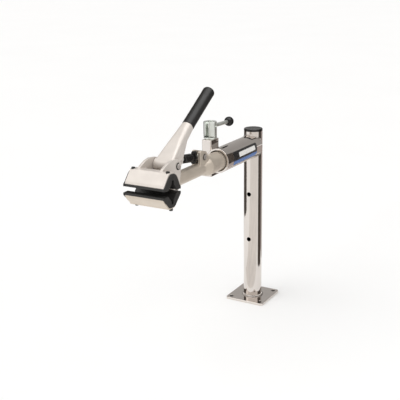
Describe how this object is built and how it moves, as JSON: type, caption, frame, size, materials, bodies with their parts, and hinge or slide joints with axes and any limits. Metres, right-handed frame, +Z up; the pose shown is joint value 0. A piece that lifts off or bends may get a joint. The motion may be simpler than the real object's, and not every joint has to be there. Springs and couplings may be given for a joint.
{
  "type": "bike repair stand",
  "caption": "Bench-mount bicycle repair stand: square base plate, short post, round arm with a cam-locked rotating head, and rubber-padded tube jaws closed by a long toggle handle.",
  "frame": {"origin": "centre of the base plate's underside, where it meets the bench", "axes": "+Z up the post, the arm points to -Y, the jaws' groove runs along X"},
  "size_m": [0.1142, 0.5941, 0.6375],
  "materials": {
    "chrome_steel": "mirror chrome plate",
    "weld_chrome": "chrome over weld bead",
    "head_paint": "satin metallic paint",
    "jaw_paint": "satin silver paint on casting",
    "zinc_steel": "bright zinc plate",
    "pin_steel": "ground steel",
    "bronze": "machined",
    "pad_rubber": "moulded matt",
    "grip_vinyl": "dipped vinyl, semi gloss",
    "black_plastic": "moulded",
    "label_black": "film label",
    "label_blue": "film label"
  },
  "bodies": {
    "stand": {"base_plate": "chrome_steel", "base_weld": "weld_chrome", "post_tube": "chrome_steel", "post_cap": "black_plastic", "arm_tube": "chrome_steel", "arm_weld": "weld_chrome", "label_panel": "label_black", "label_stripe": "label_blue", "front_bush": "bronze", "rear_bush": "bronze", "retaining_screw": "zinc_steel", "lock_housing": "chrome_steel", "upper_plunger": "bronze", "lower_plunger": "bronze", "lock_spacer": "zinc_steel", "lock_bolt": "zinc_steel", "lock_washer": "zinc_steel", "lock_nut": "zinc_steel"},
    "lock_lever": {"cam_hub": "zinc_steel", "lever_rod": "zinc_steel", "lever_ball": "black_plastic", "cam_pin": "zinc_steel"},
    "head": {"head_casting": "head_paint", "link_pivot_pin": "pin_steel", "lower_jaw": "head_paint", "lower_pad": "pad_rubber", "pivot_pin": "pin_steel", "pivot_clips": "pin_steel"},
    "top_jaw": {"upper_jaw": "jaw_paint", "upper_pad": "pad_rubber", "handle_pin": "pin_steel", "handle_clips": "pin_steel"},
    "handle": {"handle_casting": "jaw_paint", "handle_bar": "pin_steel", "handle_grip": "grip_vinyl", "front_pin": "pin_steel"},
    "link": {"rear_link": "zinc_steel", "front_link": "zinc_steel"},
    "adjuster": {"adjuster_knob": "black_plastic", "adjuster_wing": "black_plastic"}
  },
  "joints": [
    {"name": "lock_lever_swing", "type": "hinge", "parent": "stand", "child": "lock_lever", "pos_m": [-0.031, -0.1828, 0.53], "axis": [1, 0, 0], "range_deg": [0, 100]},
    {"name": "head_rotation", "type": "hinge", "parent": "stand", "child": "head", "pos_m": [0, -0.2, 0.4445], "axis": [0, -1, 0], "continuous": true},
    {"name": "jaw_opening", "type": "hinge", "parent": "head", "child": "top_jaw", "pos_m": [0, -0.452, 0.446], "axis": [-1, 0, 0], "range_deg": [0, 16.51]},
    {"name": "handle_lift", "type": "hinge", "parent": "top_jaw", "child": "handle", "pos_m": [0, -0.44396, 0.49003], "axis": [1, 0, 0], "range_deg": [0, 60]},
    {"name": "link_swing", "type": "hinge", "parent": "head", "child": "link", "pos_m": [0, -0.289, 0.475], "axis": [-1, 0, 0], "range_deg": [0, 8.71]},
    {"name": "adjuster_spin", "type": "hinge", "parent": "link", "child": "adjuster", "pos_m": [0, -0.34845, 0.48311], "axis": [0, -0.9908, 0.1352], "continuous": true}
  ],
  "couplings": [
    {"joint": "jaw_opening", "follows": "handle_lift", "ratio": 0.275},
    {"joint": "link_swing", "follows": "handle_lift", "ratio": 0.145}
  ]
}
